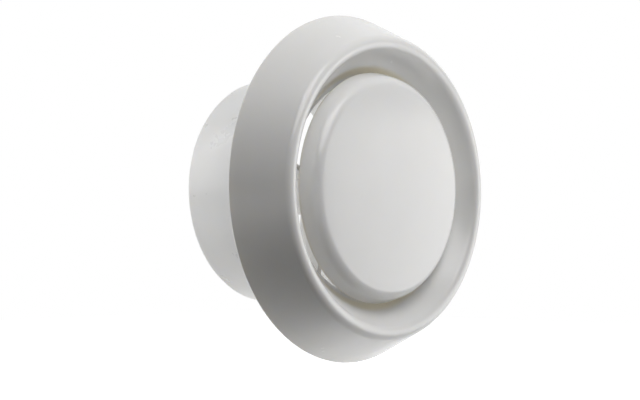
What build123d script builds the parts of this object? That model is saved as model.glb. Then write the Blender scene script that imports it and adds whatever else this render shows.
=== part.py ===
from build123d import *
from math import cos, degrees, radians, sin, sqrt, tan
import os

# Round adjustable disc valve for the end of a 100 mm ventilation duct, in millimetres.
# The wall is the plane Y = 0. The valve's axis is the Y axis: the room is on the -Y side,
# the duct on the +Y side, and +Z is up. The origin is where the axis meets the wall.
# A point of a section is given as (r, h): r out from the axis, h forward of the wall.
# A turn is given in degrees, counted anticlockwise as seen from the room, from +X.

# Mounting collar that stays in the wall, for a duct of 100 mm bore
collar_r = 49.5
collar_wall = 1.5
collar_depth = 50.0
collar_end_chamfer = 0.8
collar_root = 1.0
flange_thick = 1.8
flange_edge = 0.5
flange_room = 6.0
neck_wall = 2.2
screw_hole_r = 2.25
screw_count = 4
screw_first_turn = 45

# Valve ring, the white moulding that shows: skirt, rolled lip, bowl, throat and spider
ring_overhang = 25.5
rim_edge_round = 0.6
skirt_taper = 25.0
lip_height = 23.8
lip_roll_r = 3.8
ring_wall = 1.6
spigot_clearance = 0.9
spigot_depth = 33.0
throat_over_neck = 0.5
throat_round = 2.6
rib_count = 12
rib_thick = 1.2
rib_foot = 9.0
rib_off_neck = 3.0

# Spider that carries the spindle
arm_turns = (30, 150, 270)
arm_thick = 2.4
arm_depth_at_wall = 12.0
arm_short_of_spigot = 2.0
arm_step_at_hub = 1.0
hub_r = 11.0
hub_front = -14.0
hub_length = 15.0
hub_edge = 0.8

# Disc
disc_overlap = 4.0
disc_opening = 3.5
disc_side_height = 8.5
disc_side_taper = 17.5
disc_crease_round = 2.4
disc_dome = 1.9
disc_wall = 1.8
disc_edge_round = 0.5
disc_boss_r = 8.5
disc_boss_past_edge = 9.0
disc_boss_hole_depth = 13.0
disc_rib_count = 6
disc_rib_thick = 1.4

# Spindle and its fastenings
spindle_r = 3.95
spindle_tail_r = 3.0
spindle_past_clip = 0.9
spindle_chamfer = 0.6
thread_clearance = 0.05
washer_clearance = 0.1
nut_across_flats = 13.0
nut_height = 6.5
thin_nut_height = 4.0
nut_edge = 0.5
pocket_clearance = 0.1
hub_bore_clearance = 0.3
washer_r = 8.0
washer_thick = 1.2
stop_washer_r = 9.0
stop_washer_thick = 1.6
clip_r = 5.6
clip_thick = 0.9
clip_groove_depth = 0.6
clip_clearance = 0.05
clip_mouth = 4.2
clip_notch_r = 1.1
end_play = 0.1

# How far the disc screws out from where it stands, and the room left at that stop
open_travel = 9.0
stop_gap = 0.3

# Twist lock between ring and collar
lug_width = 7.0
lug_thick = 1.7
lug_short_of_neck = 0.3
lug_lift = 0.5
lock_turn = 18.0
lock_clearance = 0.3
lock_hook = 1.7

# Seals
wall_seal_thick = 1.0
wall_seal_off_root = 0.5
spigot_seal_front = -22.0
spigot_seal_width = 4.0
spigot_groove_depth = 0.5
spigot_seal_gap = 0.3
spigot_seal_round = 0.4

# Collar, from the duct's size
collar_bore_r = collar_r - collar_wall
flange_rear = wall_seal_thick
flange_front = flange_rear + flange_thick
lug_rear = flange_front + lug_lift
lug_front = lug_rear + lug_thick
neck_r = collar_bore_r + neck_wall
neck_front = lug_front + lock_clearance + lock_hook

# Ring, from the collar that it covers and fits into
taper = radians(skirt_taper)
rim_r = collar_r + ring_overhang
skirt_foot_r = rim_r + rim_edge_round * ((1 + sin(taper)) / cos(taper) - 1)
spigot_r = collar_bore_r - spigot_clearance
throat_r = spigot_r - ring_wall
throat_height = neck_front + throat_over_neck
lip_centre_h = lip_height - lip_roll_r
lip_centre_r = skirt_foot_r - (lip_roll_r + lip_centre_h * sin(taper)) / cos(taper)
flange_r = (
    rim_r - flange_front * tan(taper) - ring_wall / cos(taper) - flange_room
)
screw_circle_r = (neck_r + flange_r) / 2


def bowl_sphere():
    """Centre's height and radius of the ball that touches the lip's roll and meets the throat."""
    lip_reach = lip_centre_r**2 + lip_centre_h**2
    throat_reach = throat_r**2 + throat_height**2
    base = (lip_reach - throat_reach - lip_roll_r**2) / (2 * lip_roll_r)
    rate = (lip_centre_h - throat_height) / lip_roll_r
    half = base * rate - throat_height
    square = rate**2 - 1
    centre_h = (half - sqrt(half**2 - square * (base**2 - throat_reach))) / square
    return centre_h, base - rate * centre_h


bowl_centre_h, bowl_r = bowl_sphere()
bowl_share = bowl_r / (bowl_r + lip_roll_r)
bowl_start_r = lip_centre_r * bowl_share
bowl_start_h = bowl_centre_h + (lip_centre_h - bowl_centre_h) * bowl_share


def bowl_height(r):
    """Height of the bowl's face at a distance from the axis."""
    return bowl_centre_h - sqrt(bowl_r**2 - r**2)


# Disc, from the bowl that it closes on
disc_r = throat_r + disc_overlap
disc_rear = bowl_height(disc_r) + disc_opening
disc_crease_r = disc_r - disc_side_height * tan(radians(disc_side_taper))
disc_crease = disc_rear + disc_side_height
disc_boss_rear = disc_rear - disc_boss_past_edge

# Spindle and what sits on it, from the disc at its front and the hub on its way
thread_bore_r = spindle_r + thread_clearance
spindle_front = disc_boss_rear + disc_boss_hole_depth
hub_rear = hub_front - hub_length
lock_washer_rear = hub_rear - washer_thick
lock_nut_rear = lock_washer_rear - thin_nut_height
stop_washer_front = lock_nut_rear - open_travel - stop_gap
stop_washer_rear = stop_washer_front - stop_washer_thick
shoulder = stop_washer_front + end_play
clip_front = stop_washer_rear - end_play
clip_rear = clip_front - clip_thick
spindle_rear = clip_rear - spindle_past_clip
spigot_seal_rear = spigot_seal_front - spigot_seal_width


def at(r, h):
    """Sketch coordinates of a section's point: X is outwards and Y runs into the wall."""
    return (r, -h)


def section(points):
    """Closed straight-sided section through points (r, h)."""
    return make_face(Polyline(*[at(r, h) for r, h in points], close=True))


def turned(face):
    """Solid of revolution about the valve's axis."""
    return revolve(face, Axis.Y)


def tube(inner_r, outer_r, rear, front):
    """Plain ring or, with inner_r 0, a plain disc between two heights."""
    corners = [(inner_r, rear), (outer_r, rear), (outer_r, front), (inner_r, front)]
    return turned(section(corners))


def sector(inner_r, outer_r, rear, front, first_turn, last_turn):
    """Part of a ring between two turns."""
    corners = [(inner_r, rear), (outer_r, rear), (outer_r, front), (inner_r, front)]
    arc = revolve(section(corners), Axis.Y, revolution_arc=last_turn - first_turn)
    return Rot(0, -last_turn, 0) * arc


def nearest_corner(outline, point):
    """The corner of a section that lies nearest to a point (r, h)."""
    return outline.vertices().sort_by_distance(Vertex(*at(*point), 0))[0]


def web(points, thick, turn):
    """Flat web that stands out from the axis at a turn: its outline (r, h), its thickness."""
    flat = extrude(section(points), thick / 2, both=True)
    return Rot(0, -turn, 0) * flat


def around(solid, turns):
    """Copies of a solid turned about the axis."""
    return [Rot(0, -turn, 0) * solid for turn in turns]


def even_turns(count, first=0.0):
    """Evenly spaced turns."""
    return [first + 360.0 * i / count for i in range(count)]


def hexagon_bar(across_flats, rear, front):
    """Six-sided bar on the axis between two heights."""
    flat = Plane.XZ.offset(rear) * RegularPolygon(across_flats / 2, 6, major_radius=False)
    return extrude(flat, front - rear)


def nut(rear, height):
    """Hexagon nut for the spindle, with its corners turned off at both ends."""
    front = rear + height
    corner_r = nut_across_flats / 2 / cos(radians(30))
    blank = hexagon_bar(nut_across_flats, rear, front)
    turned_corners = turned(
        section(
            [
                (0, rear),
                (corner_r - 2 * nut_edge, rear),
                (corner_r, rear + nut_edge),
                (corner_r, front - nut_edge),
                (corner_r - 2 * nut_edge, front),
                (0, front),
            ]
        )
    )
    return (blank & turned_corners) - tube(0, thread_bore_r, rear - 1, front + 1)


def ring_shell_section():
    """Skirt, rolled lip, bowl, throat and spigot as one wall of even thickness."""
    past_rim = 4 * ring_wall
    skirt_start = (skirt_foot_r + past_rim * tan(taper), -past_rim)
    roll_outer = (
        lip_centre_r + lip_roll_r * cos(taper),
        lip_centre_h + lip_roll_r * sin(taper),
    )
    roll_top = (lip_centre_r, lip_height)
    bowl_start = (bowl_start_r, bowl_start_h)
    bowl_middle_r = (bowl_start_r + throat_r) / 2
    bowl_middle = (bowl_middle_r, bowl_height(bowl_middle_r))
    throat_edge = (throat_r, throat_height)
    skirt = Line(at(*skirt_start), at(*roll_outer))
    roll = ThreePointArc(at(*roll_outer), at(*roll_top), at(*bowl_start))
    bowl = ThreePointArc(at(*bowl_start), at(*bowl_middle), at(*throat_edge))
    spigot = Line(at(*throat_edge), at(throat_r, -spigot_depth))
    skin = Wire([skirt, roll, bowl, spigot])
    corner = nearest_corner(skin, throat_edge)
    skin = skin.fillet_2d(throat_round, [corner])
    wall = make_face(skin.offset_2d(ring_wall, kind=Kind.INTERSECTION, side=Side.RIGHT))
    behind_wall = section(
        [
            (spigot_r + ring_wall, 0),
            (rim_r + past_rim, 0),
            (rim_r + past_rim, -2 * past_rim),
            (spigot_r + ring_wall, -2 * past_rim),
        ]
    )
    wall -= behind_wall
    rim_corners = [v for v in wall.vertices() if abs(v.Y) < 0.001]
    return fillet(rim_corners, rim_edge_round)


def ring_rib():
    """Thin rib across the ring's hollow back, set half a wall deep into skirt, lip and bowl."""
    half_wall = ring_wall / 2
    inner_r = neck_r + rib_off_neck
    middle_r = (inner_r + bowl_start_r) / 2
    roll_r = lip_roll_r - half_wall
    roll = [
        (lip_centre_r + roll_r * cos(radians(a)), lip_centre_h + roll_r * sin(radians(a)))
        for a in (0, 45, 90, 135)
    ]
    outline = [
        (skirt_foot_r - rib_foot * tan(taper) - half_wall / cos(taper), rib_foot),
        *roll,
        (middle_r, bowl_height(middle_r) - half_wall),
        (inner_r, bowl_height(inner_r) - half_wall),
        (inner_r, rib_foot),
    ]
    return web(outline, rib_thick, 0)


def hub_arm():
    """Arm of the spider, from the valve's axis to the middle of the spigot's wall."""
    wall_r = spigot_r - ring_wall / 2
    rear_at_wall = arm_short_of_spigot - spigot_depth
    outline = [
        (0, hub_front - arm_step_at_hub),
        (hub_r, hub_front - arm_step_at_hub),
        (wall_r, rear_at_wall + arm_depth_at_wall),
        (wall_r, rear_at_wall),
        (hub_r, hub_rear + arm_step_at_hub),
        (0, hub_rear + arm_step_at_hub),
    ]
    return web(outline, arm_thick, 0)


def valve_ring():
    """One moulding: the ring, its stiffening ribs, the spider with its hub, and the lock lugs."""
    shell = turned(ring_shell_section())
    ribs = around(ring_rib(), even_turns(rib_count, 180.0 / rib_count))
    hub = tube(0, hub_r, hub_rear, hub_front)
    hub = chamfer(hub.edges().filter_by(GeomType.CIRCLE), hub_edge)
    arms = around(hub_arm(), arm_turns)
    half_lug = degrees(lug_width / 2 / collar_bore_r)
    lug = sector(
        spigot_r - ring_wall / 2,
        neck_r - lug_short_of_neck,
        lug_rear,
        lug_front,
        -half_lug,
        half_lug,
    )
    lugs = around(lug, arm_turns)
    bore = tube(0, spindle_r + hub_bore_clearance, hub_rear - 1, hub_front + 1)
    pocket = hexagon_bar(
        nut_across_flats + 2 * pocket_clearance, hub_front - nut_height, hub_front + 1
    )
    groove = tube(
        spigot_r - spigot_groove_depth, spigot_r + 1, spigot_seal_rear, spigot_seal_front
    )
    return shell + ribs + hub + arms + lugs - bore - pocket - groove


def mounting_collar():
    """Sleeve that pushes into the duct, flange with screw holes, neck with the lock's slots."""
    profile = section(
        [
            (collar_bore_r, -collar_depth),
            (collar_r - collar_end_chamfer, -collar_depth),
            (collar_r, -collar_depth + 2 * collar_end_chamfer),
            (collar_r, flange_rear),
            (flange_r, flange_rear),
            (flange_r, flange_front),
            (neck_r, flange_front),
            (neck_r, neck_front),
            (collar_bore_r, neck_front),
        ]
    )
    profile = fillet(nearest_corner(profile, (flange_r, flange_rear)), flange_edge)
    profile = fillet(nearest_corner(profile, (flange_r, flange_front)), flange_edge)
    profile = fillet(nearest_corner(profile, (collar_r, flange_rear)), collar_root)
    collar = turned(profile) - screw_holes()

    half_lug = degrees(lug_width / 2 / collar_bore_r)
    side_room = degrees(lock_clearance / collar_bore_r)
    slot_rear = lug_rear - lock_clearance
    slot_front = lug_front + lock_clearance
    slot_r = neck_r + 1
    leg = sector(
        collar_bore_r - 1,
        slot_r,
        slot_rear,
        slot_front,
        -half_lug - side_room,
        lock_turn + half_lug + side_room,
    )
    entry = sector(
        collar_bore_r - 1,
        slot_r,
        slot_rear,
        neck_front + 1,
        lock_turn - half_lug - side_room,
        lock_turn + half_lug + side_room,
    )
    return collar - around(leg, arm_turns) - around(entry, arm_turns)


def screw_holes():
    """Cutters for the wall screws' holes, through the flange and the seal behind it."""
    hole = Plane.XZ * Pos(screw_circle_r, 0) * Circle(screw_hole_r)
    cutter = extrude(hole, flange_front + 1, both=True)
    return around(cutter, even_turns(screw_count, screw_first_turn))


def wall_seal():
    """Flat foam ring between the collar's flange and the wall, with the flange's screw holes."""
    inner_r = collar_r + collar_root + wall_seal_off_root
    ring = tube(inner_r, flange_r - flange_edge, 0, wall_seal_thick)
    return ring - screw_holes()


def spigot_seal():
    """Rubber band in the spigot's groove, just short of the collar's bore."""
    inner_r = spigot_r - spigot_groove_depth
    outer_r = collar_bore_r - spigot_seal_gap
    face = section(
        [
            (inner_r, spigot_seal_rear),
            (outer_r, spigot_seal_rear),
            (outer_r, spigot_seal_front),
            (inner_r, spigot_seal_front),
        ]
    )
    outer = [v for v in face.vertices() if v.X > spigot_r]
    return turned(fillet(outer, spigot_seal_round))


def valve_disc():
    """Hollow moulding: domed face, tapered side, and behind them the boss and its ribs."""
    edge = (disc_r, disc_rear)
    crease = (disc_crease_r, disc_crease)
    crown = (0, disc_crease + disc_dome)
    dome = TangentArc(at(*crown), at(*crease), tangent=(1, 0))
    side = Line(at(*crease), at(*edge))
    skin = Wire([dome, side])
    skin = skin.fillet_2d(disc_crease_round, [nearest_corner(skin, crease)])
    wall = make_face(skin.offset_2d(disc_wall, kind=Kind.INTERSECTION, side=Side.LEFT))
    edge_corners = [v for v in wall.vertices() if -v.Y < disc_rear + disc_wall]
    shell = turned(fillet(edge_corners, disc_edge_round))

    boss = tube(0, disc_boss_r, disc_boss_rear, crown[1] - disc_wall / 2)
    ribs = around(disc_rib(), even_turns(disc_rib_count, 90))
    hole = tube(0, thread_bore_r, disc_boss_rear - 1, spindle_front)
    return shell + boss + ribs - hole


def disc_rib():
    """Rib behind the disc's face, from its boss to half a wall deep in its side."""
    half_wall = disc_wall / 2
    lean = radians(disc_side_taper)
    foot = disc_rear + disc_wall
    foot_r = disc_r - disc_wall * tan(lean) - half_wall / cos(lean)
    outline = [
        (disc_boss_r - half_wall, disc_boss_rear + disc_wall),
        (disc_boss_r + half_wall, disc_boss_rear + disc_wall),
        (foot_r, foot),
        (disc_crease_r - disc_crease_round / 2, disc_crease - disc_crease_round / 2),
        (disc_boss_r - half_wall, disc_crease + disc_dome - half_wall),
    ]
    return web(outline, disc_rib_thick, 0)


def spindle():
    """Rod fixed in the disc's boss, stepped at its tail for the stop washer and its clip."""
    groove_r = spindle_tail_r - clip_groove_depth
    return turned(
        section(
            [
                (0, spindle_front),
                (spindle_r - spindle_chamfer, spindle_front),
                (spindle_r, spindle_front - spindle_chamfer),
                (spindle_r, shoulder),
                (spindle_tail_r, shoulder),
                (spindle_tail_r, clip_front),
                (groove_r, clip_front),
                (groove_r, clip_rear),
                (spindle_tail_r, clip_rear),
                (spindle_tail_r, spindle_rear + spindle_chamfer / 2),
                (spindle_tail_r - spindle_chamfer / 2, spindle_rear),
                (0, spindle_rear),
            ]
        )
    )


def end_clip():
    """Flat spring clip, open at one side, that snaps into the spindle's groove."""
    plane = Plane.XZ.offset(clip_rear)
    inner_r = spindle_tail_r - clip_groove_depth + clip_clearance
    flat = Circle(clip_r) - Circle(inner_r) - Pos(0, -clip_r) * Rectangle(clip_mouth, 2 * clip_r)
    for turn in (35, 145):
        spot = (inner_r * cos(radians(turn)), inner_r * sin(radians(turn)))
        flat -= Pos(*spot) * Circle(clip_notch_r)
    return extrude(plane * flat, clip_thick)


def main():
    os.makedirs("parts", exist_ok=True)
    pieces = {
        "valve_ring": valve_ring(),
        "hub_nut": nut(hub_front - nut_height, nut_height),
        "lock_washer": tube(thread_bore_r + washer_clearance, washer_r, lock_washer_rear, hub_rear),
        "lock_nut": nut(lock_nut_rear, thin_nut_height),
        "spigot_seal": spigot_seal(),
        "mounting_collar": mounting_collar(),
        "wall_seal": wall_seal(),
        "valve_disc": valve_disc(),
        "spindle": spindle(),
        "disc_washer": tube(
            thread_bore_r + washer_clearance,
            washer_r,
            disc_boss_rear - washer_thick,
            disc_boss_rear,
        ),
        "disc_nut": nut(disc_boss_rear - washer_thick - thin_nut_height, thin_nut_height),
        "stop_washer": tube(
            spindle_tail_r + washer_clearance, stop_washer_r, stop_washer_rear, stop_washer_front
        ),
        "end_clip": end_clip(),
    }
    for name, piece in pieces.items():
        export_step(piece, f"parts/{name}.step")
        print(f"{name}: {len(piece.solids())} solid(s), {piece.volume:.0f} mm3")


main()
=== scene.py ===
# %% [markdown]
# # A round disc valve in white plastic
#
# A disc valve closes the end of a ventilation duct. It has a ring with a rolled lip, a disc that
# screws in and out of the ring's mouth, and a collar that stays in the wall. The sizes come from a
# finished construction model, which is loaded first and stays as it is. Each piece is then made
# again as a smoother mesh in the same place, because a soft studio light shows every flat on a
# glossy surface.
#
# All lengths are in metres. The valve's axis is the Y axis, the room is on its -Y side, and a
# point of a turned section is given as (r, h): r out from the axis, h forward of the wall.

# %% Load the construction model
from math import atan2, cos, degrees, pi, radians, sin, sqrt, tan

import bpy
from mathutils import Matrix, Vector


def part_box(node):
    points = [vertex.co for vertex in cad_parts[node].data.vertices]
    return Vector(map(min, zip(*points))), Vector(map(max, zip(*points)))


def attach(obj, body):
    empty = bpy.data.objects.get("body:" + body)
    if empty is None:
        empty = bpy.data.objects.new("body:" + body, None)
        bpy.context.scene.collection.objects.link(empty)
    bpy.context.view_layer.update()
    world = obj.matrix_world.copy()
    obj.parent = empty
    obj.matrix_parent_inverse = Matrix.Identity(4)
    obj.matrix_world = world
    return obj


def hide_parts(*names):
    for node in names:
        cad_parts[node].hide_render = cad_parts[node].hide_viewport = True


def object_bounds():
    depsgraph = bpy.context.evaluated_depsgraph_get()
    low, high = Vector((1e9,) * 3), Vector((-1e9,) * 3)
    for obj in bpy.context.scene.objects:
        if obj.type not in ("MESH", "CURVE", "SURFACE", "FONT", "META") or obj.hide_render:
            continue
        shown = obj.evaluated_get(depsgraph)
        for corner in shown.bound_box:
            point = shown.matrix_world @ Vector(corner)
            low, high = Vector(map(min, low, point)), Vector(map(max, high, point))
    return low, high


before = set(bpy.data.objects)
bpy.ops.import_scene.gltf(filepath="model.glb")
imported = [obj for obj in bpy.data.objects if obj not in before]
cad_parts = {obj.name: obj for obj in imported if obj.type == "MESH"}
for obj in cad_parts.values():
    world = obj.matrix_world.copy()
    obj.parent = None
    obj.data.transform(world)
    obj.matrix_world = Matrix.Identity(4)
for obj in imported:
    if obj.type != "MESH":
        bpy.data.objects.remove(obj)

cad_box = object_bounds()
print("construction model, lowest and highest corner:", *cad_box)

# %% [markdown]
# ## The camera
#
# The photograph looks at the valve from the front left, level with it, through a long lens. A
# camera is easiest to match by three things: the direction that it looks in, its distance, and the
# pixel on which one known point falls. The known point here is the middle of the rim, where the
# axis meets the wall.

# %% Place the camera
IMAGE_WIDTH = 640
IMAGE_HEIGHT = 400
FOCAL_PIXELS = 1700
AZIMUTH = radians(-48.2)
ELEVATION = radians(-1.7)
DISTANCE = 0.737
RIM_MIDDLE_PIXEL = (350, 189)

back = Vector((sin(AZIMUTH) * cos(ELEVATION), -cos(AZIMUTH) * cos(ELEVATION), sin(ELEVATION)))
right = Vector((cos(AZIMUTH), sin(AZIMUTH), 0))
up = back.cross(right)
across = (RIM_MIDDLE_PIXEL[0] - IMAGE_WIDTH / 2) / FOCAL_PIXELS * DISTANCE
above = (IMAGE_HEIGHT / 2 - RIM_MIDDLE_PIXEL[1]) / FOCAL_PIXELS * DISTANCE

bpy.ops.object.camera_add(location=back * DISTANCE - right * across - up * above)
camera = bpy.context.object
camera.name = "camera"
camera.rotation_mode = "QUATERNION"
camera.rotation_quaternion = (-back).to_track_quat("-Z", "Y")
camera.data.sensor_width = 36
camera.data.lens = FOCAL_PIXELS / IMAGE_WIDTH * camera.data.sensor_width
camera.data.clip_start = 0.01
bpy.context.scene.camera = camera
bpy.context.scene.view_settings.view_transform = "Standard"
print("lens", round(camera.data.lens, 1), "mm at", [round(x, 3) for x in camera.location])

# %% [markdown]
# ## The light
#
# The photograph was taken in a small light tent: white paper all round, lamps close by above,
# below and on the right, a bright back wall, and an opening where the camera stands. Lamps that
# stand close give the disc its slow change from left to right, which a far sky can't do. The back
# wall and the roof are soft patches in the world. The camera, and the gloss of plastic and metal,
# see white paper instead of those patches, and gloss also sees the dark opening.

# %% Light the tent's back wall and roof
# Each patch: the direction it lies in, its strength, and the cosine at which it has faded out.
BACK_WALL = ((-0.40, 0.86, -0.33), 3.7, 0.8)
ROOF = ((0.50, 0.40, 0.77), 1.0, 0.0)
OPENING = (-0.80, -0.42, -0.42)
OPENING_EDGE = -0.1
OPENING_FULL = 0.6
OPENING_LEVEL = 0.1


def wire(tree, source, output, target, socket):
    """Links one node's output to another node's input."""
    tree.links.new(source.outputs[output], target.inputs[socket])


def fade(tree, source, output, from_range, to_range):
    """A soft step from one value to another."""
    node = tree.nodes.new("ShaderNodeMapRange")
    node.interpolation_type = "SMOOTHSTEP"
    node.inputs["From Min"].default_value, node.inputs["From Max"].default_value = from_range
    node.inputs["To Min"].default_value, node.inputs["To Max"].default_value = to_range
    wire(tree, source, output, node, "Value")
    return node


def patch(tree, direction, towards, from_range, to_range):
    """A soft round patch of the sky about one direction."""
    nearness = tree.nodes.new("ShaderNodeVectorMath")
    nearness.operation = "DOT_PRODUCT"
    nearness.inputs[1].default_value = Vector(towards).normalized()
    wire(tree, direction, "Generated", nearness, 0)
    return fade(tree, nearness, "Value", from_range, to_range)


def calculate(tree, operation, first, second):
    """A sum, a product or the larger of two nodes' outputs, each given as (node, output)."""
    node = tree.nodes.new("ShaderNodeMath")
    node.operation = operation
    for socket, (source, output) in enumerate((first, second)):
        wire(tree, source, output, node, socket)
    return node


def seen_or_mirrored(tree):
    """1 for what the camera sees straight, in gloss or through glass, else 0; and its ray node."""
    ray = tree.nodes.new("ShaderNodeLightPath")
    mirrored = calculate(tree, "MAXIMUM", (ray, "Is Glossy Ray"), (ray, "Is Transmission Ray"))
    return calculate(tree, "MAXIMUM", (ray, "Is Camera Ray"), (mirrored, 0)), ray


world = bpy.data.worlds.new("light_tent")
bpy.context.scene.world = world
world.use_nodes = True
tree = world.node_tree
tree.nodes.clear()
direction = tree.nodes.new("ShaderNodeTexCoord")
wall, roof = [
    patch(tree, direction, towards, (faded, 1), (0, strength))
    for towards, strength, faded in (BACK_WALL, ROOF)
]
tent = tree.nodes.new("ShaderNodeBackground")
wire(tree, calculate(tree, "ADD", (wall, "Result"), (roof, "Result")), 0, tent, "Strength")
seen, ray = seen_or_mirrored(tree)
opening = patch(tree, direction, OPENING, (OPENING_EDGE, OPENING_FULL), (1, OPENING_LEVEL))
paper = tree.nodes.new("ShaderNodeBackground")
paper.inputs["Color"].default_value = (1, 1, 1, 1)
whiteness = calculate(tree, "MAXIMUM", (opening, "Result"), (ray, "Is Camera Ray"))
wire(tree, whiteness, 0, paper, "Strength")
chosen = tree.nodes.new("ShaderNodeMixShader")
world_output = tree.nodes.new("ShaderNodeOutputWorld")
wire(tree, seen, 0, chosen, 0)
wire(tree, tent, 0, chosen, 1)
wire(tree, paper, 0, chosen, 2)
wire(tree, chosen, 0, world_output, "Surface")

# %% Set up the lamps
# Each lamp: its place in metres and its power in watts. All point at the valve's origin.
LAMP_SIZE = 0.25
LAMPS = {
    "top_lamp": ((-0.10, -0.25, 0.25), 0.75),
    "under_lamp": ((0.15, 0.0, -0.32), 0.80),
    "right_lamp": ((0.28, -0.22, -0.04), 0.50),
    "back_lamp": ((-0.18, 0.30, 0.12), 0.36),
}
for name, (place, watts) in LAMPS.items():
    bpy.ops.object.light_add(type="AREA", location=place)
    lamp = bpy.context.object
    lamp.name = name
    lamp.data.size = LAMP_SIZE
    lamp.data.energy = watts
    lamp.rotation_mode = "QUATERNION"
    lamp.rotation_quaternion = (-lamp.location).to_track_quat("-Z", "Y")
    lamp.visible_camera = False
print(len(LAMPS), "lamps of", LAMP_SIZE, "m")

# %% [markdown]
# ## The floor
#
# The valve hangs on a duct, so it has no floor of its own. A pale floor well below it gives the
# other views a ground and a soft shadow. Farther away it turns into plain white, as paper that
# curves up behind an object does. The under lamp must still reach the valve, so the floor is there
# for the camera and for gloss, and lets all other light through.

# %% Lay the floor
FLOOR_DROP = 0.13
FLOOR_SIZE = 6.0
FLOOR_PAINT = 0.8
FLOOR_FADE = (0.2, 0.75)
FLOOR_GLOW = (0.1, 0.8)

bpy.ops.object.select_all(action="DESELECT")
bpy.ops.mesh.primitive_plane_add(size=FLOOR_SIZE, location=(0, 0, cad_box[0].z - FLOOR_DROP))
floor = bpy.context.object
floor.name = "floor"
floor_paint = bpy.data.materials.new("pale_floor")
floor_paint.use_nodes = True
tree = floor_paint.node_tree
tree.nodes.clear()
matt = tree.nodes.new("ShaderNodeBsdfDiffuse")
matt.inputs["Color"].default_value = (FLOOR_PAINT, FLOOR_PAINT, FLOOR_PAINT, 1)
glow = tree.nodes.new("ShaderNodeEmission")
place = tree.nodes.new("ShaderNodeTexCoord")
away = tree.nodes.new("ShaderNodeVectorMath")
away.operation = "LENGTH"
wire(tree, place, "Object", away, 0)
wire(tree, fade(tree, away, "Value", FLOOR_FADE, FLOOR_GLOW), "Result", glow, "Strength")
lit = tree.nodes.new("ShaderNodeAddShader")
clear = tree.nodes.new("ShaderNodeBsdfTransparent")
chosen = tree.nodes.new("ShaderNodeMixShader")
floor_output = tree.nodes.new("ShaderNodeOutputMaterial")
wire(tree, matt, 0, lit, 0)
wire(tree, glow, 0, lit, 1)
wire(tree, seen_or_mirrored(tree)[0], 0, chosen, 0)
wire(tree, clear, 0, chosen, 1)
wire(tree, lit, 0, chosen, 2)
wire(tree, chosen, 0, floor_output, "Surface")
floor.data.materials.append(floor_paint)

# %% [markdown]
# ## Materials
#
# The white plastic is almost plain, and that is what makes it hard: one even white looks like
# paper. A moulding has a skin that ripples very slightly, a gloss that is a little uneven, a trace
# of dust, and a body that lets some light in. The ripple and the gloss are noise in the valve's
# own coordinates, so they stay on the piece from any side. Near the gap where the disc stands in
# the throat, a cream tint is painted in for the light that glows through the plastic there and for
# the warm shade in the gap.

# %% White moulded plastic


def new_material(name):
    """A new material with its shader and the valve's own coordinates."""
    material = bpy.data.materials.new(name)
    material.use_nodes = True
    nodes = material.node_tree.nodes
    shader = nodes["Principled BSDF"]
    place = nodes.new("ShaderNodeTexCoord")
    return material, material.node_tree, shader, place


def noise(tree, place, scale, detail=2.0, roughness=0.5):
    """Noise in the valve's own coordinates."""
    node = tree.nodes.new("ShaderNodeTexNoise")
    node.inputs["Scale"].default_value = scale
    node.inputs["Detail"].default_value = detail
    node.inputs["Roughness"].default_value = roughness
    wire(tree, place, "Object", node, "Vector")
    return node


def remap(tree, source, output, low, high, to_low, to_high):
    """A value moved from one range to another."""
    node = tree.nodes.new("ShaderNodeMapRange")
    node.inputs["From Min"].default_value = low
    node.inputs["From Max"].default_value = high
    node.inputs["To Min"].default_value = to_low
    node.inputs["To Max"].default_value = to_high
    wire(tree, source, output, node, "Value")
    return node


def mix_colour(tree, factor, output, first, second):
    """One colour where the factor is 0 and another where it is 1."""
    node = tree.nodes.new("ShaderNodeMix")
    node.data_type = "RGBA"
    node.inputs["A"].default_value = first
    node.inputs["B"].default_value = second
    wire(tree, factor, output, node, 0)
    return node


def bump(tree, height, output, shader, strength, distance, under=None):
    """Relief from a height, on top of any relief that is already there."""
    node = tree.nodes.new("ShaderNodeBump")
    node.inputs["Strength"].default_value = strength
    node.inputs["Distance"].default_value = distance
    wire(tree, height, output, node, "Height")
    if under:
        wire(tree, under, "Normal", node, "Normal")
    wire(tree, node, "Normal", shader, "Normal")
    return node


PLASTIC_IOR = 1.49
GLOW_REACH = (1.0, 0.85, 0.6)
# Where the painted warm glow at the disc's gap lies, how far it reaches, and its cream colour.
GAP_R = 0.0500
GAP_HEIGHT = 0.0125
GAP_TINT_REACH = (0.0008, 0.004)
GAP_GLOW_CREAM = (0.80, 0.745, 0.60, 1)
SPECK_CELLS = 90
SPECK_SIZE = 0.028
SPECK_BLUR = 1.4
SPECK_RARITY = 0.93
SPECK_COLOUR = (0.30, 0.29, 0.27, 1)


def gap_nearness(tree, place):
    """1 at the edge where the disc stands in the throat, and 0 a few millimetres away."""
    axes = tree.nodes.new("ShaderNodeSeparateXYZ")
    wire(tree, place, "Object", axes, 0)
    across = tree.nodes.new("ShaderNodeCombineXYZ")
    wire(tree, axes, "X", across, "X")
    wire(tree, axes, "Z", across, "Z")
    out = tree.nodes.new("ShaderNodeVectorMath")
    out.operation = "LENGTH"
    wire(tree, across, 0, out, 0)
    section = tree.nodes.new("ShaderNodeCombineXYZ")
    wire(tree, out, "Value", section, "X")
    wire(tree, axes, "Y", section, "Y")
    distance = tree.nodes.new("ShaderNodeVectorMath")
    distance.operation = "DISTANCE"
    distance.inputs[1].default_value = (GAP_R, -GAP_HEIGHT, 0)
    wire(tree, section, 0, distance, 0)
    return fade(tree, distance, "Value", GAP_TINT_REACH, (1, 0))


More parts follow.
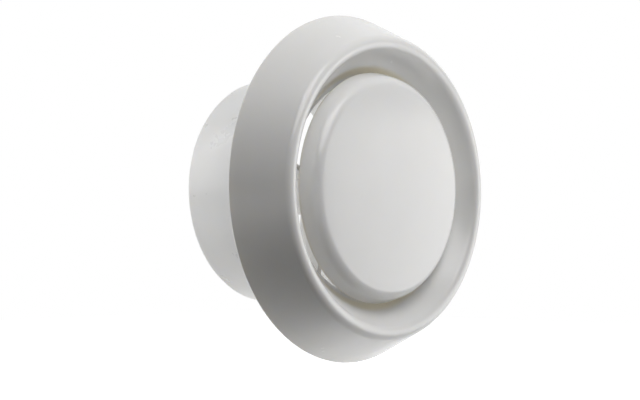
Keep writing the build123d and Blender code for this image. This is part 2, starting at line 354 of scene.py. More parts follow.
def specks(tree, place):
    """1 on a few specks of dust, which lie in a few of many cells, and 0 elsewhere."""
    cells = tree.nodes.new("ShaderNodeTexVoronoi")
    cells.inputs["Scale"].default_value = SPECK_CELLS
    wire(tree, place, "Object", cells, "Vector")
    spot = remap(tree, cells, "Distance", SPECK_SIZE, SPECK_SIZE * SPECK_BLUR, 1, 0)
    lot = tree.nodes.new("ShaderNodeSeparateColor")
    wire(tree, cells, "Color", lot, 0)
    rare = tree.nodes.new("ShaderNodeMath")
    rare.operation = "GREATER_THAN"
    rare.inputs[1].default_value = SPECK_RARITY
    wire(tree, lot, "Red", rare, 0)
    return calculate(tree, "MULTIPLY", (spot, "Result"), (rare, 0))


def white_plastic(name, colour, shade, gloss, glow_through, depth):
    """White moulding: its colour and darker shade, roughness, how far light enters it, and a painted
    warm glow at the disc's gap.
    """
    material, tree, shader, place = new_material(name)
    shader.inputs["IOR"].default_value = PLASTIC_IOR
    shader.inputs["Subsurface Weight"].default_value = glow_through
    shader.inputs["Subsurface Radius"].default_value = GLOW_REACH
    shader.inputs["Subsurface Scale"].default_value = depth
    cloud = noise(tree, place, 22, 3)
    tone = remap(tree, cloud, "Fac", 0.35, 0.65, 0, 1)
    body = mix_colour(tree, tone, "Result", colour, shade)
    # Painted light: a cream tint near the gap stands in for light glowing through the plastic and for
    # the warm shade in the gap.
    painted_gap_glow = mix_colour(tree, gap_nearness(tree, place), "Result", colour, GAP_GLOW_CREAM)
    wire(tree, body, "Result", painted_gap_glow, "A")
    dusty = mix_colour(tree, specks(tree, place), 0, colour, SPECK_COLOUR)
    wire(tree, painted_gap_glow, "Result", dusty, "A")
    wire(tree, dusty, "Result", shader, "Base Color")
    smear = noise(tree, place, 60, 4, 0.6)
    rough = remap(tree, smear, "Fac", 0.3, 0.7, gloss * 0.8, gloss * 1.25)
    wire(tree, rough, "Result", shader, "Roughness")
    ripple = noise(tree, place, 420, 1)
    wave = bump(tree, ripple, "Fac", shader, 0.25, 0.00002)
    skin = noise(tree, place, 5200, 2)
    bump(tree, skin, "Fac", shader, 0.18, 0.000004, wave)
    return material


ring_plastic = white_plastic(
    "white_ring_plastic", (0.80, 0.795, 0.785, 1), (0.775, 0.77, 0.755, 1), 0.22, 0.2, 0.004
)
disc_plastic = white_plastic(
    "white_disc_plastic", (0.80, 0.797, 0.79, 1), (0.785, 0.78, 0.77, 1), 0.20, 0.2, 0.004
)
collar_plastic = white_plastic(
    "white_collar_plastic", (0.80, 0.80, 0.79, 1), (0.78, 0.78, 0.77, 1), 0.30, 0.25, 0.004
)

# %% [markdown]
# ### Steel, rubber and foam
#
# The nuts, washers and rod are bright zinc-plated steel: a grey mirror with a fine, slightly
# cloudy grain. The rubber is black with a dull skin, and the foam shows its small closed cells.

# %% Zinc, rubber and foam


def zinc_plate():
    """Bright zinc plating with a cloudy grain."""
    material, tree, shader, place = new_material("zinc_plated_steel")
    shader.inputs["Metallic"].default_value = 1.0
    cloud = noise(tree, place, 180, 4, 0.6)
    tone = remap(tree, cloud, "Fac", 0.3, 0.7, 0, 1)
    colour = mix_colour(tree, tone, "Result", (0.62, 0.64, 0.66, 1), (0.74, 0.75, 0.75, 1))
    wire(tree, colour, "Result", shader, "Base Color")
    rough = remap(tree, cloud, "Fac", 0.3, 0.7, 0.22, 0.40)
    wire(tree, rough, "Result", shader, "Roughness")
    grain = noise(tree, place, 2600, 3)
    bump(tree, grain, "Fac", shader, 0.25, 0.00001)
    return material


def black_rubber():
    """Dull black rubber with a fine skin and a trace of grey bloom."""
    material, tree, shader, place = new_material("black_rubber")
    bloom = noise(tree, place, 90, 4, 0.65)
    tone = remap(tree, bloom, "Fac", 0.35, 0.75, 0, 1)
    colour = mix_colour(tree, tone, "Result", (0.018, 0.018, 0.019, 1), (0.045, 0.044, 0.043, 1))
    wire(tree, colour, "Result", shader, "Base Color")
    rough = remap(tree, bloom, "Fac", 0.3, 0.7, 0.48, 0.70)
    wire(tree, rough, "Result", shader, "Roughness")
    skin = noise(tree, place, 3200, 3)
    bump(tree, skin, "Fac", shader, 0.35, 0.00002)
    return material


def grey_foam():
    """Closed-cell foam: rounded cells, darker in the gaps between them."""
    material, tree, shader, place = new_material("grey_foam")
    cells = tree.nodes.new("ShaderNodeTexVoronoi")
    cells.inputs["Scale"].default_value = 1900
    wire(tree, place, "Object", cells, "Vector")
    gaps = remap(tree, cells, "Distance", 0.25, 0.75, 0, 1)
    colour = mix_colour(tree, gaps, "Result", (0.115, 0.115, 0.12, 1), (0.05, 0.05, 0.053, 1))
    wire(tree, colour, "Result", shader, "Base Color")
    shader.inputs["Roughness"].default_value = 0.85
    height = remap(tree, cells, "Distance", 0, 0.8, 1, 0)
    bump(tree, height, "Result", shader, 0.6, 0.00012)
    return material


zinc_steel = zinc_plate()
seal_rubber = black_rubber()
seal_foam = grey_foam()

# %% [markdown]
# ## Drawing a section and turning it
#
# Nearly every piece here is round, so nearly every piece starts as half of its section. A plane is
# shrunk to one point, the point is extruded along the section's outline, and the outline is spun
# round the valve's axis. This is how a lathe or a round mould makes the real piece, and it gives
# even rows of faces, which take gloss better than a cylinder that was cut and patched. What stands
# out of the round form, such as a rib, is a flat plate in the same plane, copied round the axis.

# %% Points of a section
MM = 0.001
TURN_STEPS = 240
SAME_PLACE = 0.000002


def arc(centre, radius, first, last, steps):
    """Points of an arc: 0 degrees is out from the axis and 90 degrees is towards the room."""
    turns = [radians(first + (last - first) * i / steps) for i in range(steps + 1)]
    return [(centre[0] + radius * cos(t), centre[1] + radius * sin(t)) for t in turns]


def corner(before, point, after, radius, steps=4):
    """Points of a rounded corner between two straight runs."""
    one = (Vector(before) - Vector(point)).normalized()
    other = (Vector(after) - Vector(point)).normalized()
    half = one.angle(other) / 2
    centre = Vector(point) + (one + other).normalized() * radius / sin(half)
    start = Vector(point) + one * radius / tan(half) - centre
    end = Vector(point) + other * radius / tan(half) - centre
    first = degrees(atan2(start.y, start.x))
    swing = (degrees(atan2(end.y, end.x)) - first + 180) % 360 - 180
    return arc(centre, radius, first, first + swing, steps)


# %% Modelling helpers


def pick(piece):
    """Selects one object and nothing else."""
    bpy.ops.object.select_all(action="DESELECT")
    piece.select_set(True)
    bpy.context.view_layer.objects.active = piece


def draw(name, points, closed=False):
    """A new object, left in edit mode, with a chain of points (r, h) in millimetres."""
    bpy.ops.object.select_all(action="DESELECT")
    start = (points[0][0] * MM, -points[0][1] * MM, 0)
    bpy.ops.mesh.primitive_plane_add(size=MM, location=start)
    piece = bpy.context.object
    piece.name = name
    bpy.ops.object.transform_apply()
    bpy.ops.object.mode_set(mode="EDIT")
    bpy.ops.mesh.select_all(action="SELECT")
    bpy.ops.mesh.merge(type="CENTER")
    chain = points + points[:1] if closed else points
    for here, there in zip(chain, chain[1:]):
        step = ((there[0] - here[0]) * MM, (here[1] - there[1]) * MM, 0)
        bpy.ops.mesh.extrude_region_move(TRANSFORM_OT_translate={"value": step})
    bpy.ops.mesh.select_all(action="SELECT")
    bpy.ops.mesh.remove_doubles(threshold=SAME_PLACE)
    return piece


def close_up():
    """Merges what meets, turns all faces outwards and leaves edit mode."""
    bpy.ops.mesh.select_all(action="SELECT")
    bpy.ops.mesh.remove_doubles(threshold=SAME_PLACE)
    bpy.ops.mesh.normals_make_consistent(inside=False)
    bpy.ops.object.mode_set(mode="OBJECT")


def turned(name, points, closed=False, steps=TURN_STEPS):
    """A solid of revolution from a section."""
    piece = draw(name, points, closed)
    bpy.ops.mesh.spin(steps=steps, angle=2 * pi, center=(0, 0, 0), axis=(0, -1, 0))
    close_up()
    return piece


def swept(name, points, angle, steps=8):
    """Part of a ring that starts at turn 0 and ends at an angle in degrees."""
    piece = draw(name, points, closed=True)
    bpy.ops.mesh.edge_face_add()
    bpy.ops.mesh.spin(steps=steps, angle=radians(angle), center=(0, 0, 0), axis=(0, -1, 0))
    close_up()
    return piece


def plate(name, points, thick):
    """A flat plate in the plane of the section, half its thickness to each side."""
    piece = draw(name, points, closed=True)
    bpy.ops.mesh.edge_face_add()
    bpy.ops.transform.translate(value=(0, 0, -thick / 2 * MM))
    bpy.ops.mesh.extrude_region_move(TRANSFORM_OT_translate={"value": (0, 0, thick * MM)})
    close_up()
    return piece


def joined(pieces):
    """Several objects as one."""
    pick(pieces[0])
    for piece in pieces[1:]:
        piece.select_set(True)
    bpy.ops.object.join()
    return bpy.context.object


def around(piece, turns):
    """Copies of a piece turned about the valve's axis, in degrees anticlockwise from the room."""
    copies = []
    for turn in turns:
        pick(piece)
        bpy.ops.object.duplicate()
        copy = bpy.context.object
        copy.rotation_euler = (0, -radians(turn), 0)
        bpy.ops.object.transform_apply()
        copies.append(copy)
    bpy.data.objects.remove(piece)
    return joined(copies)


def combine(piece, tool, operation):
    """Unites a piece with a tool, cuts the tool from it, or keeps what they share."""
    pick(piece)
    bpy.ops.object.modifier_add(type="BOOLEAN")
    modifier = piece.modifiers[-1]
    modifier.operation = operation
    modifier.object = tool
    modifier.solver = "EXACT"
    modifier.use_self = True
    bpy.ops.object.modifier_apply(modifier=modifier.name)
    bpy.data.objects.remove(tool)
    return piece


def rod(name, radius, rear, front, sides=64):
    """A plain bar on the valve's axis between two heights, with its first corner on +X."""
    bpy.ops.object.select_all(action="DESELECT")
    bpy.ops.mesh.primitive_cylinder_add(
        vertices=sides,
        radius=radius * MM,
        depth=(front - rear) * MM,
        location=(0, -(front + rear) / 2 * MM, 0),
        rotation=(pi / 2, 0, 0),
    )
    piece = bpy.context.object
    piece.name = name
    bpy.ops.object.transform_apply()
    piece.rotation_euler = (0, pi / 2, 0)
    bpy.ops.object.transform_apply()
    return piece


def done(piece, node, body, material, sharp=30):
    """Smooths a finished piece, gives it its material and puts it in the node's place."""
    pick(piece)
    bpy.ops.object.shade_smooth_by_angle(angle=radians(sharp))
    piece.data.materials.clear()
    piece.data.materials.append(material)
    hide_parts(node)
    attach(piece, body)
    bpy.context.view_layer.update()
    low, high = [Vector(f(c[i] for c in piece.bound_box) for i in range(3)) for f in (min, max)]
    cad_low, cad_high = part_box(node)
    proud = max(*(cad_low - low), *(high - cad_high)) / MM
    print(f"{piece.name}: {len(piece.data.polygons)} faces, {proud:.2f} mm past its node's box")


# %% [markdown]
# ## The ring
#
# The ring is one moulding with a wall of even thickness: a tapered skirt, a rolled lip, a bowl,
# a throat and a spigot. The bowl is part of a ball that touches the lip's roll, which is why the
# shade runs over it without a line. The outline goes over the room side first and comes back along
# the hidden side, with each radius larger or smaller by the wall.

# %% The ring's sizes
ring_low, ring_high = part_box("valve_ring")
RIM_R = ring_high.x / MM
LIP_HEIGHT = -ring_low.y / MM
SPIGOT_END = -ring_high.y / MM
WALL = 1.6
RIM_ROUND = 0.6
TAPER = 25.0
ROLL_R = 3.8
THROAT_R = 45.5
THROAT_HEIGHT = 7.5
THROAT_ROUND = 2.6
SPIGOT_R = THROAT_R + WALL
SEAL_FRONT = -22.0
SEAL_REAR = -26.0
GROOVE_DEPTH = 0.5
EDGE_ROUND = 0.3

lean = radians(TAPER)
FOOT_R = RIM_R + RIM_ROUND * ((1 + sin(lean)) / cos(lean) - 1)
LIP_CENTRE = (
    FOOT_R - (ROLL_R + (LIP_HEIGHT - ROLL_R) * sin(lean)) / cos(lean),
    LIP_HEIGHT - ROLL_R,
)


def bowl_ball():
    """Height of the centre and radius of the ball that touches the lip's roll and the throat."""
    lip_reach = LIP_CENTRE[0] ** 2 + LIP_CENTRE[1] ** 2
    throat_reach = THROAT_R**2 + THROAT_HEIGHT**2
    base = (lip_reach - throat_reach - ROLL_R**2) / (2 * ROLL_R)
    rate = (LIP_CENTRE[1] - THROAT_HEIGHT) / ROLL_R
    half = base * rate - THROAT_HEIGHT
    square = rate**2 - 1
    height = (half - sqrt(half**2 - square * (base**2 - throat_reach))) / square
    return height, base - rate * height


BOWL_HEIGHT, BOWL_R = bowl_ball()
bowl_centre = (0, BOWL_HEIGHT)
throat_centre_r = THROAT_R + THROAT_ROUND
throat_centre = (
    throat_centre_r,
    BOWL_HEIGHT - sqrt((BOWL_R + THROAT_ROUND) ** 2 - throat_centre_r**2),
)
BOWL_FIRST = degrees(atan2(LIP_CENTRE[1] - BOWL_HEIGHT, LIP_CENTRE[0]))
BOWL_LAST = degrees(atan2(throat_centre[1] - BOWL_HEIGHT, throat_centre[0]))
print(f"the bowl is part of a ball of {BOWL_R:.1f} mm radius")


def bowl_height(r):
    """Height of the bowl's face at a distance from the axis."""
    return BOWL_HEIGHT - sqrt(BOWL_R**2 - r**2)


# %% The ring's wall
inner_foot_r = FOOT_R - WALL / cos(lean)
past_skirt = (LIP_CENTRE[0] + ROLL_R * cos(lean), LIP_CENTRE[1] + ROLL_R * sin(lean))
past_inner_skirt = (
    LIP_CENTRE[0] + (ROLL_R - WALL) * cos(lean),
    LIP_CENTRE[1] + (ROLL_R - WALL) * sin(lean),
)
spigot_inner = (THROAT_R, SPIGOT_END)
spigot_outer = (SPIGOT_R, SPIGOT_END)
ring_outline = (
    corner((inner_foot_r, 0), (FOOT_R, 0), past_skirt, RIM_ROUND, 5)
    + arc(LIP_CENTRE, ROLL_R, TAPER, BOWL_FIRST + 180, 22)
    + arc(bowl_centre, BOWL_R, BOWL_FIRST, BOWL_LAST, 16)[1:]
    + arc(throat_centre, THROAT_ROUND, BOWL_LAST + 180, 180, 8)[1:]
    + corner(throat_centre, spigot_inner, spigot_outer, EDGE_ROUND, 3)
    + corner(spigot_inner, spigot_outer, (SPIGOT_R, 0), EDGE_ROUND, 3)
    + [(SPIGOT_R, SEAL_REAR), (SPIGOT_R - GROOVE_DEPTH, SEAL_REAR)]
    + [(SPIGOT_R - GROOVE_DEPTH, SEAL_FRONT), (SPIGOT_R, SEAL_FRONT)]
    + arc(throat_centre, THROAT_ROUND - WALL, 180, BOWL_LAST + 180, 5)
    + arc(bowl_centre, BOWL_R + WALL, BOWL_LAST, BOWL_FIRST, 10)[1:]
    + arc(LIP_CENTRE, ROLL_R - WALL, BOWL_FIRST + 180, TAPER, 12)[1:]
    + corner(past_inner_skirt, (inner_foot_r, 0), (FOOT_R, 0), RIM_ROUND, 4)
)
ring = turned("ring_moulding", ring_outline, closed=True)

# %% [markdown]
# ### Ribs, spider and lock lugs
#
# Behind the skirt stand twelve thin ribs, and in the spigot three arms carry the hub for the
# spindle. Each is a plate that ends half a wall deep in the ring, so that a union welds it in with
# no gap. The pocket for the nut and the bore for the spindle are cut last, through everything.

# %% Ribs
RIB_COUNT = 12
RIB_THICK = 1.2
RIB_FOOT = 9.0
RIB_INNER_R = 53.2
RIB_MIDDLE_R = (RIB_INNER_R + LIP_CENTRE[0] * BOWL_R / (BOWL_R + ROLL_R)) / 2
half_wall = WALL / 2
rib_outline = (
    [(FOOT_R - RIB_FOOT * tan(lean) - half_wall / cos(lean), RIB_FOOT)]
    + arc(LIP_CENTRE, ROLL_R - half_wall, 0, 135, 3)
    + [(r, bowl_height(r) - half_wall) for r in (RIB_MIDDLE_R, RIB_INNER_R)]
    + [(RIB_INNER_R, RIB_FOOT)]
)
ribs = around(
    plate("rib", rib_outline, RIB_THICK), [(i + 0.5) * 360 / RIB_COUNT for i in range(RIB_COUNT)]
)

# %% Spider: hub and arms
ARM_TURNS = (30, 150, 270)
ARM_THICK = 2.4
ARM_DEPTH = 12.0
ARM_REAR = SPIGOT_END + 2.0
HUB_R = 11.0
HUB_FRONT = -14.0
HUB_REAR = -29.0
HUB_EDGE = 0.8
ARM_STEP = 1.0
hub_outline = (
    [(0, HUB_REAR)]
    + corner((0, HUB_REAR), (HUB_R, HUB_REAR), (HUB_R, HUB_FRONT), HUB_EDGE)
    + corner((HUB_R, HUB_REAR), (HUB_R, HUB_FRONT), (0, HUB_FRONT), HUB_EDGE)
    + [(0, HUB_FRONT)]
)
hub = turned("hub", hub_outline, steps=96)
arm_outline = [
    (0, HUB_FRONT - ARM_STEP),
    (HUB_R, HUB_FRONT - ARM_STEP),
    (SPIGOT_R - half_wall, ARM_REAR + ARM_DEPTH),
    (SPIGOT_R - half_wall, ARM_REAR),
    (HUB_R, HUB_REAR + ARM_STEP),
    (0, HUB_REAR + ARM_STEP),
]
arms = around(plate("arm", arm_outline, ARM_THICK), ARM_TURNS)

# %% Lock lugs
LUG_REAR = 3.3
LUG_FRONT = 5.0
LUG_OUTER_R = 49.9
COLLAR_BORE_R = 48.0
LUG_ANGLE = degrees(7.0 / COLLAR_BORE_R)
lug_inner_r = SPIGOT_R - half_wall
lug_outline = [
    (lug_inner_r, LUG_REAR),
    (LUG_OUTER_R, LUG_REAR),
    (LUG_OUTER_R, LUG_FRONT),
    (lug_inner_r, LUG_FRONT),
]
lugs = around(swept("lug", lug_outline, LUG_ANGLE), [t - LUG_ANGLE / 2 for t in ARM_TURNS])

# %% Weld them and cut the nut's pocket and the bore
NUT_FLATS = 13.0
NUT_HEIGHT = 6.5
POCKET_ROOM = 0.2
BORE_R = 4.25
corner_r = (NUT_FLATS + POCKET_ROOM) / 2 / cos(radians(30))
ring = combine(ring, joined([ribs, hub, arms, lugs]), "UNION")
ring = combine(ring, rod("pocket", corner_r, HUB_FRONT - NUT_HEIGHT, HUB_FRONT + 1, 6), "DIFFERENCE")
ring = combine(ring, rod("bore", BORE_R, HUB_REAR - 1, HUB_FRONT + 1, 96), "DIFFERENCE")
done(ring, "valve_ring", "valve_ring", ring_plastic)

# %% [markdown]
# ## The disc
#
# The disc is a shallow hollow cap. Its face is domed by less than two millimetres, which is enough
# to keep the studio's reflection moving across it, and it meets the tapered side in a soft shoulder.
# Behind the face a boss holds the spindle, and six ribs keep the face from sinking.

# %% The disc's cap
CROWN = -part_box("valve_disc")[0].y / MM
DISC_R = 49.5
DISC_REAR = bowl_height(DISC_R) + 3.5
SIDE_HEIGHT = 8.5
SIDE_TAPER = radians(17.5)
DOME = 1.9
CREASE_ROUND = 5.0
DISC_WALL = 1.8
DISC_EDGE = 0.5
FACE_MARGIN = 4.0
INNER_FACE_MARGIN = 3.0
crease = (DISC_R - SIDE_HEIGHT * tan(SIDE_TAPER), DISC_REAR + SIDE_HEIGHT)
dome_r = (crease[0] ** 2 + DOME**2) / (2 * DOME)
dome_centre_h = CROWN - dome_r


def dome_points(radius, out_to, steps):
    """Points of the domed face, from the axis outwards."""
    rs = [out_to * i / steps for i in range(steps + 1)]
    return [(r, dome_centre_h + sqrt(radius**2 - r**2)) for r in rs]


inner_edge_r = DISC_R - DISC_WALL / cos(SIDE_TAPER)
inner_dome_r = dome_r - DISC_WALL
inner_crease_r = crease[0] - DISC_WALL * tan(pi / 4 - SIDE_TAPER / 2)
inner_crease = (inner_crease_r, dome_centre_h + sqrt(inner_dome_r**2 - inner_crease_r**2))
outer_face = dome_points(dome_r, crease[0] - FACE_MARGIN, 12)
inner_face = dome_points(inner_dome_r, inner_crease_r - INNER_FACE_MARGIN, 8)
cap_outline = (
    outer_face
    + corner(outer_face[-1], crease, (DISC_R, DISC_REAR), CREASE_ROUND, 12)
    + corner(crease, (DISC_R, DISC_REAR), (inner_edge_r, DISC_REAR), DISC_EDGE)
    + corner((DISC_R, DISC_REAR), (inner_edge_r, DISC_REAR), inner_crease, DISC_EDGE)
    + corner((inner_edge_r, DISC_REAR), inner_crease, inner_face[-1], CREASE_ROUND - DISC_WALL)
    + inner_face[::-1]
)
disc = turned("disc_moulding", cap_outline)

# %% The boss and its ribs
BOSS_R = 8.5
BOSS_REAR = DISC_REAR - 9.0
BOSS_HOLE_END = BOSS_REAR + 13.0
BOSS_FRONT = CROWN - DISC_WALL / 2
THREAD_BORE_R = 4.0
BOSS_EDGE = 0.3
DISC_RIB_COUNT = 6
DISC_RIB_THICK = 1.4
bore_end = (THREAD_BORE_R, BOSS_HOLE_END)
boss_outline = (
    [(0, BOSS_HOLE_END), bore_end]
    + corner(bore_end, (THREAD_BORE_R, BOSS_REAR), (BOSS_R, BOSS_REAR), BOSS_EDGE, 2)
    + corner((THREAD_BORE_R, BOSS_REAR), (BOSS_R, BOSS_REAR), (BOSS_R, BOSS_FRONT), BOSS_EDGE, 2)
    + [(BOSS_R, BOSS_FRONT), (0, BOSS_FRONT)]
)
boss = turned("boss", boss_outline, steps=96)
rib_end_r = DISC_R - DISC_WALL * tan(SIDE_TAPER) - DISC_WALL / 2 / cos(SIDE_TAPER)
rib_corner_inset = DISC_WALL * 0.75
disc_rib_outline = [
    (BOSS_R - DISC_WALL / 2, BOSS_REAR + DISC_WALL),
    (BOSS_R + DISC_WALL / 2, BOSS_REAR + DISC_WALL),
    (rib_end_r, DISC_REAR + DISC_WALL),
    (crease[0] - rib_corner_inset, crease[1] - rib_corner_inset),
    (BOSS_R - DISC_WALL / 2, CROWN - DISC_WALL / 2),
]
disc_rib_turns = [90 + 360 / DISC_RIB_COUNT * i for i in range(DISC_RIB_COUNT)]
disc_ribs = around(plate("disc_rib", disc_rib_outline, DISC_RIB_THICK), disc_rib_turns)
disc = combine(disc, joined([boss, disc_ribs]), "UNION")
done(disc, "valve_disc", "valve_disc", disc_plastic)

# %% [markdown]
# ## The mounting collar
#
# The collar stays in the wall. Its sleeve slides into the duct, its flange takes the wall screws
# under the ring, and its neck has three hooked slots in which the ring's lugs turn and lock. The
# slots are cut with parts of rings, so that their ends are square to the turn.

# %% The collar
collar_low, collar_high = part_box("mounting_collar")
COLLAR_END = -collar_high.y / MM
FLANGE_R = collar_high.x / MM
COLLAR_R = 49.5
COLLAR_ROOT = 1.0
END_CHAMFER = 0.8
FLANGE_REAR = 1.0
FLANGE_FRONT = 2.8
FLANGE_EDGE = 0.5
NECK_R = 50.2
NECK_FRONT = -collar_low.y / MM
SCREW_CIRCLE_R = (NECK_R + FLANGE_R) / 2
SCREW_HOLE_R = 2.25
SCREW_TURNS = (45, 135, 225, 315)
collar_outline = (
    corner((COLLAR_BORE_R, 0), (COLLAR_BORE_R, COLLAR_END), (COLLAR_R, COLLAR_END), 0.2, 2)
    + [(COLLAR_R - END_CHAMFER, COLLAR_END), (COLLAR_R, COLLAR_END + 2 * END_CHAMFER)]
    + corner((COLLAR_R, 0), (COLLAR_R, FLANGE_REAR), (FLANGE_R, FLANGE_REAR), COLLAR_ROOT)
    + corner((COLLAR_R, FLANGE_REAR), (FLANGE_R, FLANGE_REAR), (FLANGE_R, FLANGE_FRONT), FLANGE_EDGE)
    + corner((FLANGE_R, FLANGE_REAR), (FLANGE_R, FLANGE_FRONT), (NECK_R, FLANGE_FRONT), FLANGE_EDGE)
    + [(NECK_R, FLANGE_FRONT)]
    + corner((NECK_R, FLANGE_FRONT), (NECK_R, NECK_FRONT), (COLLAR_BORE_R, NECK_FRONT), EDGE_ROUND, 3)
    + corner((NECK_R, NECK_FRONT), (COLLAR_BORE_R, NECK_FRONT), (COLLAR_BORE_R, 0), EDGE_ROUND, 3)
)
collar = turned("collar_moulding", collar_outline, closed=True)

# %% Its slots and screw holes
LOCK_TURN = 18.0
LOCK_ROOM = 0.3
side_room = degrees(LOCK_ROOM / COLLAR_BORE_R)
slot_span = LUG_ANGLE + 2 * side_room


def slot_outline(front):
    """Section of a slot through the neck's wall."""
    rear = LUG_REAR - LOCK_ROOM
    inner, outer = COLLAR_BORE_R - 1, NECK_R + 1
    return [(inner, rear), (outer, rear), (outer, front), (inner, front)]


legs = around(
    swept("leg", slot_outline(LUG_FRONT + LOCK_ROOM), slot_span + LOCK_TURN),
    [t - slot_span / 2 for t in ARM_TURNS],
)
entries = around(
    swept("entry", slot_outline(NECK_FRONT + 1), slot_span),
    [t + LOCK_TURN - slot_span / 2 for t in ARM_TURNS],
)
collar = combine(collar, joined([legs, entries]), "DIFFERENCE")


def screw_drills():
    """Four drills for the wall screws, through the flange and the seal behind it."""
    drill = rod("drill", SCREW_HOLE_R, -1, FLANGE_FRONT + 1, 48)
    drill.location = (SCREW_CIRCLE_R * MM, 0, 0)
    bpy.ops.object.transform_apply()
    return around(drill, SCREW_TURNS)


collar = combine(collar, screw_drills(), "DIFFERENCE")
done(collar, "mounting_collar", "mounting_collar", collar_plastic)

# %% [markdown]
# ## The spindle
#
# The spindle is a threaded rod. A thread is one short zigzag, as long as the pitch, that climbs by
# its own length at every turn, and that is exactly what the Screw modifier does. Its ends come out
# as ragged steps, so the thread is made a little too long and then only what lies inside a turned
# blank is kept. The blank has the chamfers of a real rod. The tail without thread is added last.

# %% The spindle's thread
spindle_low, spindle_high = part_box("spindle")
SPINDLE_FRONT = -spindle_low.y / MM
SPINDLE_REAR = -spindle_high.y / MM
PITCH = 1.25
CREST_R = 3.95
ROOT_R = 3.28
THREAD_STEPS = 32
SPINDLE_CHAMFER = 0.6
TAIL_R = 3.0
GROOVE_R = 2.4
CLIP_THICK = 0.9
TAIL_PAST_CLIP = 0.9
STOP_WASHER_THICK = 1.6
END_PLAY = 0.1
clip_rear = SPINDLE_REAR + TAIL_PAST_CLIP
clip_front = clip_rear + CLIP_THICK
stop_washer_rear = clip_front + END_PLAY
stop_washer_front = stop_washer_rear + STOP_WASHER_THICK
shoulder = stop_washer_front + END_PLAY

thread_bottom = shoulder - 2 * PITCH
thread_profile = [
    (CREST_R, thread_bottom),
    (CREST_R, thread_bottom + PITCH / 8),
    (ROOT_R, thread_bottom + PITCH * 7 / 16),
    (ROOT_R, thread_bottom + PITCH * 11 / 16),
    (CREST_R, thread_bottom + PITCH),
]
spindle = draw("spindle_rod", thread_profile)
bpy.ops.object.mode_set(mode="OBJECT")
pick(spindle)
bpy.ops.object.modifier_add(type="SCREW")
thread = spindle.modifiers[-1]
thread.axis = "Y"
thread.steps = THREAD_STEPS
thread.render_steps = THREAD_STEPS
thread.screw_offset = -PITCH * MM
thread.iterations = round((SPINDLE_FRONT - shoulder) / PITCH) + 4
thread.use_merge_vertices = True
thread.merge_threshold = SAME_PLACE
bpy.ops.object.modifier_apply(modifier=thread.name)
bpy.ops.object.mode_set(mode="EDIT")
bpy.ops.mesh.select_all(action="SELECT")
bpy.ops.mesh.remove_doubles(threshold=SAME_PLACE)
bpy.ops.mesh.select_all(action="DESELECT")
bpy.ops.mesh.select_non_manifold()
bpy.ops.mesh.fill()
close_up()
thread_turns = round((SPINDLE_FRONT - shoulder) / PITCH)
print("thread:", len(spindle.data.polygons), "faces,", thread_turns, "turns")

# %% The spindle's blank and tail
blank_outline = [
    (0, shoulder),
    (CREST_R - SPINDLE_CHAMFER, shoulder),
    (CREST_R + 0.01, shoulder + SPINDLE_CHAMFER),
    (CREST_R + 0.01, SPINDLE_FRONT - SPINDLE_CHAMFER),
    (CREST_R - SPINDLE_CHAMFER, SPINDLE_FRONT),
    (0, SPINDLE_FRONT),
]
spindle = combine(spindle, turned("blank", blank_outline, steps=64), "INTERSECT")
tail_outline = [
    (0, SPINDLE_REAR),
    (TAIL_R - SPINDLE_CHAMFER / 2, SPINDLE_REAR),
    (TAIL_R, SPINDLE_REAR + SPINDLE_CHAMFER / 2),
    (TAIL_R, clip_rear),
    (GROOVE_R, clip_rear),
    (GROOVE_R, clip_front),
    (TAIL_R, clip_front),
    (TAIL_R, shoulder + 1),
    (0, shoulder + 1),
]
spindle = combine(spindle, turned("tail", tail_outline, steps=64), "UNION")
done(spindle, "spindle", "valve_disc", zinc_steel)

# %% [markdown]
# ## Nuts, washers and the clip
#
# A nut is a six-sided bar whose corners were turned off at 30 degrees, so it is the part that a
# bar and a turned blank have in common. Washers are turned with soft edges, as stamping leaves
# them. The end clip is stamped flat: a round plate with a mouth, and two notches for the tool that
# opens it.

# %% Nuts
NUT_BORE_R = 4.0
NUT_EDGE = 0.5
SOFT_EDGE = 0.12
THIN_NUT_HEIGHT = 4.0
WASHER_R = 8.0
WASHER_THICK = 1.2
WASHER_EDGE = 0.25


def soften(piece, width):
    """Rounds a piece's sharp edges a little, because a real edge always catches some light."""
    pick(piece)
    bpy.ops.object.modifier_add(type="BEVEL")
    modifier = piece.modifiers[-1]
    modifier.width = width * MM
    modifier.segments = 2
    modifier.limit_method = "ANGLE"
    modifier.angle_limit = radians(35)
    bpy.ops.object.modifier_apply(modifier=modifier.name)
    return piece


def nut(node, body, rear, height):
    """Hexagon nut with turned corners and countersunk bore."""
    front = rear + height
    nut_corner_r = NUT_FLATS / 2 / cos(radians(30))
    turned_corners = [
        (0, rear),
        (nut_corner_r - 2 * NUT_EDGE, rear),
        (nut_corner_r, rear + NUT_EDGE),
        (nut_corner_r, front - NUT_EDGE),
        (nut_corner_r - 2 * NUT_EDGE, front),
        (0, front),
    ]
    sink = NUT_EDGE
    drill = [
        (0, rear - 1),
        (NUT_BORE_R + sink + 1, rear - 1),
        (NUT_BORE_R, rear + sink),
        (NUT_BORE_R, front - sink),
        (NUT_BORE_R + sink + 1, front + 1),
        (0, front + 1),
    ]
    piece = rod(node + "_bar", nut_corner_r, rear - 1, front + 1, 6)
    piece = combine(piece, turned("turned_corners", turned_corners, steps=96), "INTERSECT")
    piece = combine(piece, turned("drill", drill, steps=96), "DIFFERENCE")
    piece.name = node + "_hexagon"
    done(soften(piece, SOFT_EDGE), node, body, zinc_steel)


disc_nut_front = BOSS_REAR - WASHER_THICK
lock_nut_front = HUB_REAR - WASHER_THICK
nut("hub_nut", "valve_ring", HUB_FRONT - NUT_HEIGHT, NUT_HEIGHT)
nut("lock_nut", "valve_ring", lock_nut_front - THIN_NUT_HEIGHT, THIN_NUT_HEIGHT)
nut("disc_nut", "valve_disc", disc_nut_front - THIN_NUT_HEIGHT, THIN_NUT_HEIGHT)

# %% Washers


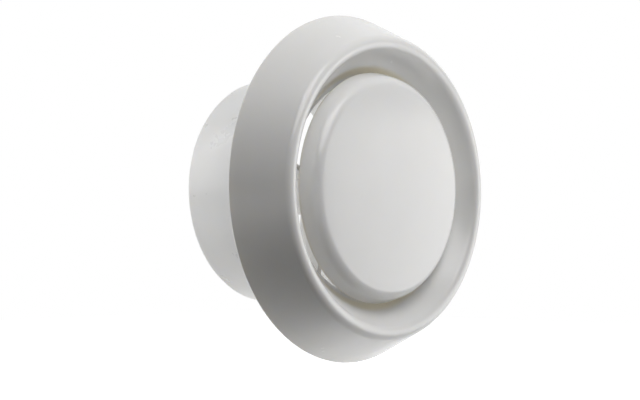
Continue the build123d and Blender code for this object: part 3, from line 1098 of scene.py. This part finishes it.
def washer(node, body, inner_r, outer_r, rear, thick):
    """Stamped washer with soft edges."""
    front = rear + thick
    corners = [(inner_r, rear), (outer_r, rear), (outer_r, front), (inner_r, front)]
    outline = []
    for i in range(4):
        outline += corner(corners[i - 1], corners[i], corners[(i + 1) % 4], WASHER_EDGE, 3)
    piece = turned(node + "_stamping", outline, closed=True, steps=120)
    done(piece, node, body, zinc_steel)


STOP_WASHER_R = 9.0
WASHER_ROOM = 0.1
washer("lock_washer", "valve_ring", NUT_BORE_R + WASHER_ROOM, WASHER_R, lock_nut_front, WASHER_THICK)
washer("disc_washer", "valve_disc", NUT_BORE_R + WASHER_ROOM, WASHER_R, disc_nut_front, WASHER_THICK)
tail_hole_r = TAIL_R + WASHER_ROOM
washer("stop_washer", "stop_washer", tail_hole_r, STOP_WASHER_R, stop_washer_rear, STOP_WASHER_THICK)

# %% End clip
CLIP_R = 5.6
CLIP_INNER_R = 2.45
CLIP_MOUTH = 4.2
CLIP_NOTCH_R = 1.1
CLIP_NOTCH_TURNS = (35, 145)
clip = rod("end_clip_stamping", CLIP_R, clip_rear, clip_front, 96)
clip = combine(clip, rod("clip_bore", CLIP_INNER_R, clip_rear - 1, clip_front + 1, 64), "DIFFERENCE")
bpy.ops.object.select_all(action="DESELECT")
bpy.ops.mesh.primitive_cube_add(
    size=1,
    scale=(CLIP_MOUTH * MM, 3 * MM, CLIP_R * MM),
    location=(0, -(clip_rear + clip_front) / 2 * MM, -CLIP_R / 2 * MM),
)
mouth = bpy.context.object
bpy.ops.object.transform_apply()
clip = combine(clip, mouth, "DIFFERENCE")
for turn in CLIP_NOTCH_TURNS:
    notch = rod("notch", CLIP_NOTCH_R, clip_rear - 1, clip_front + 1, 32)
    notch.location = (CLIP_INNER_R * cos(radians(turn)) * MM, 0, CLIP_INNER_R * sin(radians(turn)) * MM)
    pick(notch)
    bpy.ops.object.transform_apply()
    clip = combine(clip, notch, "DIFFERENCE")
done(soften(clip, SOFT_EDGE / 2), "end_clip", "valve_disc", zinc_steel)

# %% [markdown]
# ## The seals
#
# Behind the flange lies a ring of grey foam that is pressed against the wall, and in the spigot's
# groove sits a band of black rubber. The band has two ridges, as such a seal has, so that it bends
# more easily where it touches the collar.

# %% The rubber band
BAND_R = 47.7
BAND_ROUND = 0.4
BAND_GROOVE = 0.25
band_inner_r = SPIGOT_R - GROOVE_DEPTH
band_middle = (SEAL_FRONT + SEAL_REAR) / 2
band_rear_corner = (BAND_R, SEAL_REAR)
band_front_corner = (BAND_R, SEAL_FRONT)
band_outline = (
    [(band_inner_r, SEAL_REAR)]
    + corner((band_inner_r, SEAL_REAR), band_rear_corner, band_front_corner, BAND_ROUND)
    + arc((BAND_R + BAND_GROOVE, band_middle), 2 * BAND_GROOVE, 240, 120, 6)
    + corner(band_rear_corner, band_front_corner, (band_inner_r, SEAL_FRONT), BAND_ROUND)
    + [(band_inner_r, SEAL_FRONT)]
)
band = turned("spigot_seal_band", band_outline, closed=True)
done(band, "spigot_seal", "valve_ring", seal_rubber)

# %% The foam ring
foam_low, foam_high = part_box("wall_seal")
FOAM_THICK = -foam_low.y / MM
FOAM_R = foam_high.x / MM
FOAM_INNER_R = 51.0
FOAM_EDGE = 0.2
foam_corners = [(FOAM_INNER_R, 0), (FOAM_R, 0), (FOAM_R, FOAM_THICK), (FOAM_INNER_R, FOAM_THICK)]
foam_outline = []
for i in range(4):
    foam_outline += corner(foam_corners[i - 1], foam_corners[i], foam_corners[(i + 1) % 4], FOAM_EDGE, 3)
foam = turned("wall_seal_foam", foam_outline, closed=True)
foam = combine(foam, screw_drills(), "DIFFERENCE")
done(foam, "wall_seal", "mounting_collar", seal_foam)
